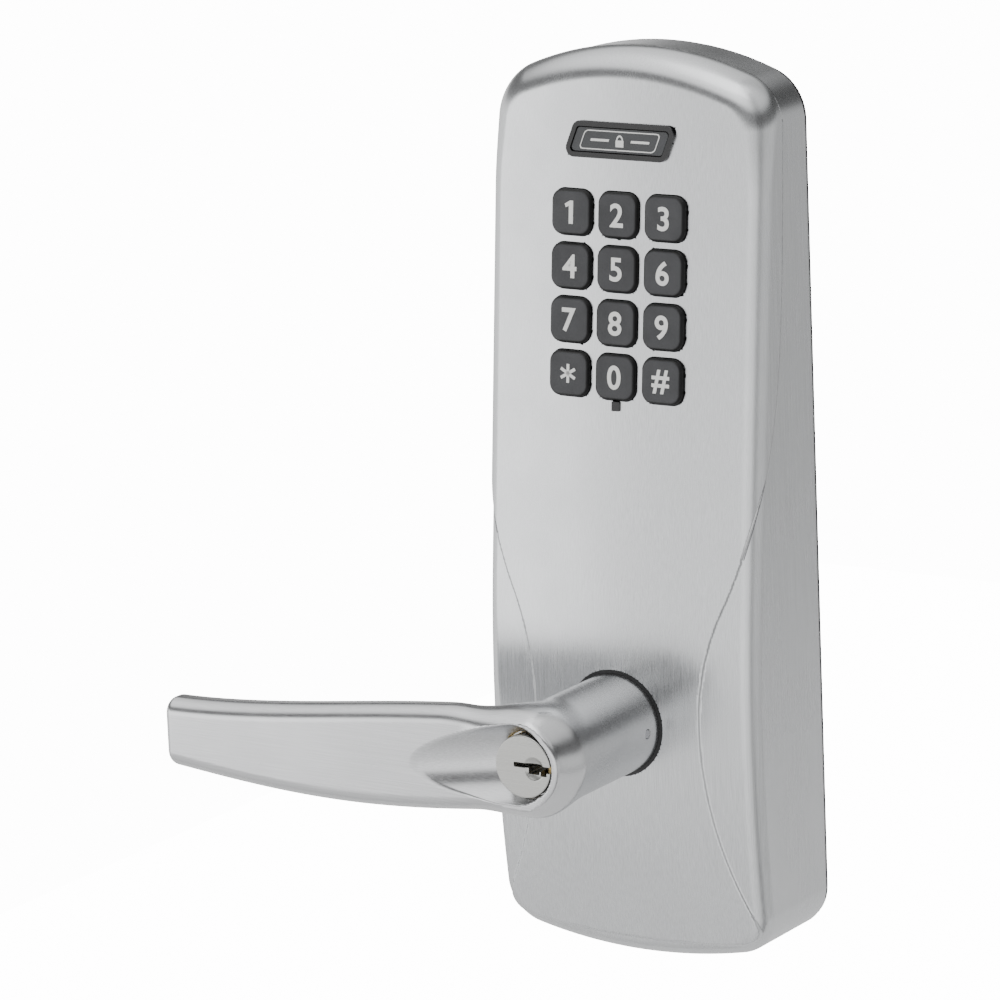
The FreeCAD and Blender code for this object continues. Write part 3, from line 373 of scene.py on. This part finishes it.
def panel_reach(z):
    """How far the raised panel reaches past the start of the rolled edge, measured along the surface."""
    roll = roll_at(z)
    up = np.maximum(z - WAIST_HEIGHT, 0)
    down = np.maximum(WAIST_HEIGHT - z, 0)
    shoulder = WAIST + 80 - np.sqrt(80 ** 2 - np.minimum(up, 34) ** 2)
    below = WAIST + 125 - np.sqrt(125 ** 2 - np.minimum(down, 100) ** 2)
    upper = 46.1 - 119 + np.sqrt(119 ** 2 - (86.6 - np.clip(z, 36, 50)) ** 2)
    reach = np.where(z < WAIST_HEIGHT, below, np.where(z < 36, shoulder, upper)) - HALF_WIDTH + 4.2
    for low, high in zip(LINE_KNOTS, LINE_KNOTS[1:]):
        reach = np.where(z > low[0], between(z, low, high), reach)
    return reach + (roll - 4.2) * np.where(reach > 0, math.pi / 2 - 1, 1)


def keypad_height(depth, z):
    """Height along the leaning face from the keypad's middle."""
    return (z - KEYPAD_HEIGHT) * math.cos(LEAN) - (depth - KEYPAD_DEPTH) * math.sin(LEAN)


def along_surface(side, front, roll):
    """Distance round the rolled edge from where it starts, and on down the wall."""
    rolled = roll * np.arctan2(np.maximum(side, 0), np.maximum(front, 1e-6))
    return np.where(side < 0, side, np.where(front < 0, roll * math.pi / 2 - front, rolled))


def panel_inside(x, depth, z):
    """Distance inside the raised panel's edge, measured along the surface."""
    roll = roll_at(z)
    side = outline_distance(x, z) + roll
    front = depth - (face_depth(z) - STEP - x * x / 900) + roll
    foot = z + 62.5 + np.sqrt(np.maximum(420 ** 2 - x * x, 0)) - 417.6
    return -rounded_meet(along_surface(side, front, roll) - panel_reach(z), -foot, 5.0)


def housing_skin(x, depth, z):
    """Outside of the casting: a rolled edge, and a slightly raised panel that reaches round it higher up."""
    face = depth - (face_depth(z) - STEP - x * x / 900)
    body = rounded_meet(outline_distance(x, z), face * math.cos(LEAN), roll_at(z))
    return body - STEP * smooth_step(panel_inside(x, depth, z), -0.45, 0.45)


def face_cuts(x, depth, z):
    """Openings for the keys, the entry button, the status window and the lever."""
    up = keypad_height(depth, z)
    column = np.clip(np.round(x / KEY_PITCH), -1, 1)
    row = np.clip(np.round(up / KEY_PITCH - 0.5), -2, 1) + 0.5
    keys = box_2d(x - column * KEY_PITCH, up - row * KEY_PITCH, 6.8, 6.8, 3.8)
    lean_run = math.cos(math.atan(SLANT))
    enter = box_2d((x - (up - ENTER_UP) * SLANT) * lean_run, up - ENTER_UP, 16.75 * lean_run, 5.15, 2.6)
    nub = box_2d(x, up + 31.2, 1.2, 1.4, 0.5)
    lever_hole = np.hypot(x, z) - 15.65
    return np.minimum(np.minimum(keys, enter), np.minimum(nub, lever_hole))


def housing_field(x, depth, z):
    """Hollow casting with its openings."""
    hollow = np.maximum(outline_distance(x, z), depth - face_depth(z) + STEP + x * x / 900) + 3
    shell = np.maximum(housing_skin(x, depth, z), -hollow)
    shell = np.maximum(shell, -np.maximum(face_cuts(x, depth, z), 12 - depth))
    return np.maximum(shell, 1.5 - depth)


# ---------------------------------------------------------------- lever

def lever_field(x, depth, z):
    """Cast lever: hub and arm flow together, with a scoop beside the key cylinder and a bore for it."""
    t = np.clip((x + 124) / 124, 0, 1)
    top = 5.2 + 9.9 * smooth_step(t, 0, 1) - 3.0 * smooth_step(t, 0.78, 1)
    bottom = -15.0 - 4.7 * np.sin(3.1 * t) + 1.9 * t
    front = 90.2 + 0.6 * t + 1.2 * t * (1 - t)
    thick = 11.0
    middle_z, half_z = (top + bottom) / 2, (top - bottom) / 2
    arm_side = box_2d(z - middle_z, depth - front + thick / 2, half_z, thick / 2, 4.6)
    arm_ends = np.abs(x + 60.5) - 63.3
    arm = rounded_meet(arm_side, arm_ends, 2.6)
    around = np.hypot(x, z)
    hub = rounded_meet(around - 14.6, depth - 88.5, 7.5)
    body = blended_join(arm, hub, 11.0)
    rim = rounded_meet(around - 11.6, depth - 91.2, 1.2)
    body = blended_join(body, rim, 3.0)
    start, end = np.array([-46.0, 106.3, -4.6]), np.array([-3.0, 97.8, 0.3])
    line = end - start
    share = ((x - start[0]) * line[0] + (depth - start[1]) * line[1] + (z - start[2]) * line[2]) / line.dot(line)
    share = np.clip(share, 0, 1)
    scoop = np.sqrt((x - start[0] - share * line[0]) ** 2 + (depth - start[1] - share * line[1]) ** 2
                    + (z - start[2] - share * line[2]) ** 2) - 13.3
    body = rounded_meet(body, -scoop, 0.35)
    shell_bore = np.maximum(around - 9.5, 86 - depth)
    tube_bore = np.maximum(around - 10.05, depth - 56.5)
    core_bore = around - 8.5
    catch_hole = np.maximum(np.hypot(depth - 48, z) - 1.4, -x)
    bores = np.minimum(np.minimum(shell_bore, tube_bore), np.minimum(core_bore, catch_hole))
    body = np.maximum(body, -bores)
    body = rounded_meet(body, z - 15.55, 1.0)
    return np.maximum(body, np.maximum(36.8 - depth, depth - 91.35))


# ---------------------------------------------------------------- key cylinder's face

def plug_field(x, depth, z):
    """Turned face with the keyway and the finger dimple round it."""
    around = np.hypot(x, z)
    face = rounded_meet(around - 9.0, depth - 91.0, 0.35)
    disc = np.maximum(face, 88.0 - depth)
    stem = np.maximum(around - 6.35, np.maximum(78.0 - depth, depth - 89))
    body = np.minimum(disc, stem)
    dimple = np.sqrt((x - 3.6) ** 2 + (depth - 96.0) ** 2 + (z + 0.2) ** 2) - 6.0
    narrow = box_2d(x - 1.6, z - 0.5, 4.5, 0.65, 0.2)
    wide = box_2d(x - 3.3, z + 0.6, 1.7, 1.3, 0.3)
    tail = box_2d(x - 6.9, z + 0.1, 2.6, 0.9, 0.3)
    ward = box_2d(x - 6.6, z + 1.3, 1.1, 0.7, 0.2)
    keyway = np.minimum(np.minimum(narrow, wide), np.minimum(tail, ward))
    body = rounded_meet(body, -dimple, 0.1)
    return np.maximum(body, -np.maximum(keyway, 82.0 - depth))


field_piece("housing_shell", housing_field, (-46, 0.5, -72), (46, 43, 192), 0.5, "satin_chrome", "case",
            "escutcheon_housing", edge=(housing_skin, face_cuts))
field_piece("lever_casting", lever_field, (-125.5, 35.5, -20), (16, 92.5, 17.5), 0.5, "lever_chrome", "lever",
            "lever_handle")
field_piece("plug_face", plug_field, (-9.6, 77.4, -9.6), (9.6, 91.6, 9.6), 0.16, "plug_nickel", "plug",
            "cylinder_plug")


# ---------------------------------------------------------------- painted shade and painted highlight along the panel's edge

def line_start_points():
    """Rough points up the right side, over the top and down the left side, near the panel's edge."""
    heights = np.linspace(47, 172, 160)
    right = np.stack([np.full_like(heights, HALF_WIDTH), 38 - heights * 0.1, heights], axis=1)
    turns = np.radians(np.linspace(-28, 28, 90))
    over = np.stack([-95 * np.sin(-turns), np.full_like(turns, 17.0), 95.3 + 95 * np.cos(turns)], axis=1)[::-1]
    left = right[::-1] * np.array([-1, 1, 1])
    return np.concatenate([right, over, left])


def painted_edge_ribbon(name, start, end, look):
    """Narrow ribbon of flat colour that follows the panel's edge between two distances inside it; below, the dark
    one is painted shade and the light one a painted highlight.
    """
    rows = []
    for inset in (start, end):
        points = line_start_points()
        for _ in range(12):
            points, _ = onto(lambda x, depth, z: panel_inside(x, depth, z) - inset, points, 2.0)
            points, slope = onto(housing_skin, points, 2.0)
        points += slope / np.linalg.norm(slope, axis=1)[:, None] * 0.02
        rows.append(points * np.array([1, -1, 1]) * MM)
    count = len(rows[0])
    faces = [(i, i + 1, count + i + 1, count + i) for i in range(count - 1)
             if np.linalg.norm(rows[0][i] - rows[0][i + 1]) < 6 * MM]
    ribbon = mesh_piece(name, np.concatenate(rows), faces, look)
    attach(ribbon, "case")


# Dark ribbon just outside the panel's edge: painted shade in the crease at the foot of the raised panel.
painted_edge_ribbon("panel_edge_painted_shade", -0.75, -0.4, brushed_metal("painted_edge_shade", (0.22, 0.22, 0.23), 0.4, ALONG_Z))
# Light ribbon just inside the panel's edge: a painted highlight where the rounded edge catches the light.
painted_edge_ribbon("panel_edge_painted_highlight", 0.0, 0.3, brushed_metal("painted_edge_highlight", (0.85, 0.85, 0.86), 0.3, ALONG_Z))


# ---------------------------------------------------------------- legends

OUTWARD = Vector((0, -math.cos(LEAN), math.sin(LEAN)))
UPWARD = Vector((0, math.sin(LEAN), math.cos(LEAN)))
INK = Look("legend_ink", (0.78, 0.78, 0.76), 0.0, 0.5)
INK.tint(INK.noise((900, 900, 900)), 0.92, 1.04)
INK.rough(INK.spread(INK.noise((2500, 2500, 2500)), 0.42, 0.6))


def on_keypad(x, up, out):
    """Point on the leaning face, from millimetres across it, up it and out of it."""
    middle = Vector((0, -KEYPAD_DEPTH, KEYPAD_HEIGHT)) * MM
    return middle + Vector((x * MM, 0, 0)) + UPWARD * up * MM + OUTWARD * out * MM


def printed(name, flat_points, faces, out, body, slot):
    """Thin printed shape on the keypad plane that rides on a body."""
    piece = mesh_piece(name, [on_keypad(x, up, out) for x, up in flat_points], faces, INK)
    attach(piece, body)
    return piece


def legend(character, name, x, up):
    """Bold character on one key."""
    curve = bpy.data.curves.new(name + "_letter", "FONT")
    curve.body = character
    curve.size = 9.2
    curve.offset = 0.2
    curve.align_x = "CENTER"
    curve.align_y = "CENTER"
    letter = bpy.data.objects.new(name + "_letter", curve)
    bpy.context.scene.collection.objects.link(letter)
    bpy.context.view_layer.update()
    shape = letter.evaluated_get(bpy.context.evaluated_depsgraph_get()).to_mesh()
    flat = np.array([vertex.co[:2] for vertex in shape.vertices])
    faces = [tuple(face.vertices) for face in shape.polygons]
    letter.to_mesh_clear()
    bpy.data.objects.remove(letter)
    centre = (flat.max(axis=0) + flat.min(axis=0)) / 2
    printed(name + "_legend", flat - centre + (x, up), faces, 1.56, "press_" + name, "key_plastic")


def drawn_one(x, up):
    """Numeral one with a flag, as flat points and faces."""
    flat = [(-0.5, -3.3), (0.9, -3.3), (0.9, 3.3), (-0.1, 3.3), (-1.9, 2.3), (-1.5, 1.3), (-0.5, 1.8)]
    return [(x + a, up + b) for a, b in flat], [(0, 1, 2, 6), (6, 2, 3), (6, 3, 4, 5)]


def drawn_star(x, up):
    """Three crossed bars."""
    flat, faces = [], []
    for turn in range(3):
        angle = math.radians(90 + 60 * turn)
        along = np.array([math.cos(angle), math.sin(angle)]) * 2.7
        across = np.array([-math.sin(angle), math.cos(angle)]) * 0.45
        faces.append(tuple(range(len(flat), len(flat) + 4)))
        flat += [along + across, across - along, -along - across, along - across]
    return [(x + a, up + b) for a, b in flat], faces


KEYS = ("1", "2", "3", "4", "5", "6", "7", "8", "9", "star", "0", "hash")
for index, name in enumerate(KEYS):
    x, up = (index % 3 - 1) * KEY_PITCH, (1.5 - index // 3) * KEY_PITCH
    if name in ("1", "star"):
        printed(name + "_legend", *(drawn_one if name == "1" else drawn_star)(x, up), 1.56, "press_" + name,
                "key_plastic")
    else:
        legend("#" if name == "hash" else name, name, x, up)


def slanted_loop(half_wide, half_tall, corner, steps=6):
    """Points round a slanted box with rounded corners, on the entry button."""
    points = []
    for turn in range(4):
        side_x = 1 if turn in (0, 3) else -1
        side_y = 1 if turn in (0, 1) else -1
        for step in range(steps + 1):
            angle = math.radians(90 * turn + 90 * step / steps)
            x = side_x * (half_wide - corner) + corner * math.cos(angle)
            y = side_y * (half_tall - corner) + corner * math.sin(angle)
            points.append((x + y * SLANT, y + ENTER_UP))
    return points


def strip_between(outer, inner):
    """Faces that join two loops of the same number of points."""
    count = len(outer)
    return [(i, (i + 1) % count, count + (i + 1) % count, count + i) for i in range(count)]


def entry_device():
    """Thin outline with a plain padlock sign between two bars."""
    outer, inner = slanted_loop(12.4, 2.75, 1.2), slanted_loop(12.1, 2.45, 1.0)
    printed("entry_outline", outer + inner, strip_between(outer, inner), 0.56, "enter", "enter_plastic")
    for side in (-1, 1):
        bar = [(side * 6.6 + x, ENTER_UP + y) for x, y in ((-3, -0.35), (3, -0.35), (3.2, 0.35), (-2.8, 0.35))]
        printed("entry_bar_left" if side < 0 else "entry_bar_right", bar, [(0, 1, 2, 3)], 0.56, "enter",
                "enter_plastic")
    lock = [(x, ENTER_UP + y) for x, y in ((-1.3, -1.7), (1.3, -1.7), (1.3, 0.2), (-1.3, 0.2))]
    printed("entry_lock_body", lock, [(0, 1, 2, 3)], 0.56, "enter", "enter_plastic")
    sweep = [math.radians(180 * step / 12) for step in range(13)]
    arch = [(radius * math.cos(a), ENTER_UP + 0.2 + radius * 1.35 * math.sin(a)) for radius in (1.1, 0.7)
            for a in sweep]
    printed("entry_lock_shackle", arch, [(i, i + 1, 14 + i, 13 + i) for i in range(12)], 0.56, "enter",
            "enter_plastic")


entry_device()

# ---------------------------------------------------------------- stage

def studio_floor():
    """Plain pale sweep well below the lock, white to the camera."""
    low = CAD_BOX[0].z - 0.9
    near, far = -0.2, 3.5
    floor = mesh_piece("floor", [(-2, near, low), (2, near, low), (2, far, low), (-2, far, low)], [(0, 1, 2, 3)])
    look = Look("floor_paint", (0.9, 0.9, 0.9), 0.0, 0.9)
    look.tint(look.noise((3, 3, 3)), 0.98, 1.02)
    look.shader.inputs["Emission Color"].default_value = (1, 1, 1, 1)
    seen = look.nodes.new("ShaderNodeLightPath")
    lift = look.nodes.new("ShaderNodeMath")
    lift.operation = "MULTIPLY"
    lift.inputs[1].default_value = PAPER_WHITE
    look.links.new(seen.outputs["Is Camera Ray"], lift.inputs[0])
    look.links.new(lift.outputs["Value"], look.shader.inputs["Emission Strength"])
    floor.data.materials.append(look.material)


SKY_SHADES = [(-1.0, 0.52), (-0.45, 0.7), (-0.12, 1.0), (0.06, 1.0), (0.22, 0.2), (0.46, 0.12), (0.66, 1.1),
              (1.0, 1.3)]
ROUND_SHADES = [(-180, 0.42), (-110, 0.75), (-40, 1.0), (0, 1.0), (32, 1.25), (60, 1.05), (88, 0.42), (108, 0.62),
                (135, 0.6), (180, 0.42)]
GLOW = 1.6
PAPER_WHITE = 14.0
SIGHT = {"place": (0.80495, -1.32696, 0.42548), "azimuth": 33.2, "elevation": 13.32, "roll": -2.37,
         "lens": 199.17}


def studio_camera():
    """Long-lens camera to the right of the lock and a little above it."""
    azimuth, elevation, roll = (math.radians(SIGHT[key]) for key in ("azimuth", "elevation", "roll"))
    ahead = Vector((-math.sin(azimuth) * math.cos(elevation), math.cos(azimuth) * math.cos(elevation),
                    -math.sin(elevation)))
    level = Vector((math.cos(azimuth), math.sin(azimuth), 0))
    upright = level.cross(ahead)
    right = level * math.cos(roll) + upright * math.sin(roll)
    above = upright * math.cos(roll) - level * math.sin(roll)
    data = bpy.data.cameras.new("camera")
    data.lens = SIGHT["lens"]
    data.sensor_width = 36
    camera = bpy.data.objects.new("camera", data)
    camera.matrix_world = Matrix.Translation(SIGHT["place"]) @ Matrix((right, above, -ahead)).transposed().to_4x4()
    bpy.context.scene.collection.objects.link(camera)
    bpy.context.scene.camera = camera


def soft_light(name, place, size, power, aim=(0, -0.03, 0.05)):
    """Large area light aimed at the lock."""
    data = bpy.data.lights.new(name, "AREA")
    data.shape = "RECTANGLE"
    data.size, data.size_y = size
    data.energy = power
    light = bpy.data.objects.new(name, data)
    light.location = place
    light.rotation_euler = (Vector(aim) - Vector(place)).to_track_quat("-Z", "Y").to_euler()
    bpy.context.scene.collection.objects.link(light)


def shade_ramp(nodes, stops):
    """Grey ramp through (position, shade) stops."""
    ramp = nodes.new("ShaderNodeValToRGB")
    ramp.color_ramp.interpolation = "EASE"
    while len(ramp.color_ramp.elements) < len(stops):
        ramp.color_ramp.elements.new(0.5)
    for element, (position, level) in zip(ramp.color_ramp.elements, stops):
        element.position = position
        element.color = (level, level, level, 1)
    return ramp


def studio_world():
    """Soft surround seen in the metal, white behind the lock: bright ahead and overhead, dimmer at the back."""
    world = bpy.data.worlds.new("studio")
    world.use_nodes = True
    nodes, links = world.node_tree.nodes, world.node_tree.links
    surround = nodes["Background"]
    place = nodes.new("ShaderNodeTexCoord")
    split = nodes.new("ShaderNodeSeparateXYZ")
    links.new(place.outputs["Generated"], split.inputs["Vector"])
    height = nodes.new("ShaderNodeMapRange")
    height.inputs["From Min"].default_value = -1
    links.new(split.outputs["Z"], height.inputs["Value"])
    ramp = shade_ramp(nodes, [((climb + 1) / 2, level) for climb, level in SKY_SHADES])
    links.new(height.outputs["Result"], ramp.inputs["Fac"])
    turns = []
    for way in ((0.89, -0.45, 0.0), (-0.45, -0.89, 0.0)):
        dot = nodes.new("ShaderNodeVectorMath")
        dot.operation = "DOT_PRODUCT"
        dot.inputs[1].default_value = way
        links.new(place.outputs["Generated"], dot.inputs[0])
        turns.append(dot.outputs["Value"])
    angle = nodes.new("ShaderNodeMath")
    angle.operation = "ARCTAN2"
    links.new(turns[0], angle.inputs[0])
    links.new(turns[1], angle.inputs[1])
    share = nodes.new("ShaderNodeMapRange")
    share.inputs["From Min"].default_value = -math.pi
    share.inputs["From Max"].default_value = math.pi
    links.new(angle.outputs["Value"], share.inputs["Value"])
    around = shade_ramp(nodes, [((turn + 180) / 360, level) for turn, level in ROUND_SHADES])
    links.new(share.outputs["Result"], around.inputs["Fac"])
    shade = nodes.new("ShaderNodeMix")
    shade.data_type = "RGBA"
    shade.blend_type = "MULTIPLY"
    shade.inputs["Factor"].default_value = 1
    links.new(ramp.outputs["Color"], shade.inputs["A"])
    links.new(around.outputs["Color"], shade.inputs["B"])
    links.new(shade.outputs["Result"], surround.inputs["Color"])
    surround.inputs["Strength"].default_value = GLOW
    white = nodes.new("ShaderNodeBackground")
    white.inputs["Color"].default_value = (1, 1, 1, 1)
    white.inputs["Strength"].default_value = PAPER_WHITE
    seen = nodes.new("ShaderNodeLightPath")
    choice = nodes.new("ShaderNodeMixShader")
    links.new(seen.outputs["Is Camera Ray"], choice.inputs["Fac"])
    links.new(surround.outputs["Background"], choice.inputs[1])
    links.new(white.outputs["Background"], choice.inputs[2])
    links.new(choice.outputs["Shader"], nodes["World Output"].inputs["Surface"])
    bpy.context.scene.world = world


studio_floor()
studio_camera()
studio_world()
soft_light("left_light", (-1.3, -1.2, -0.05), (0.9, 0.9), 3)
soft_light("top_light", (0.1, -0.5, 1.6), (1.2, 0.8), 3)
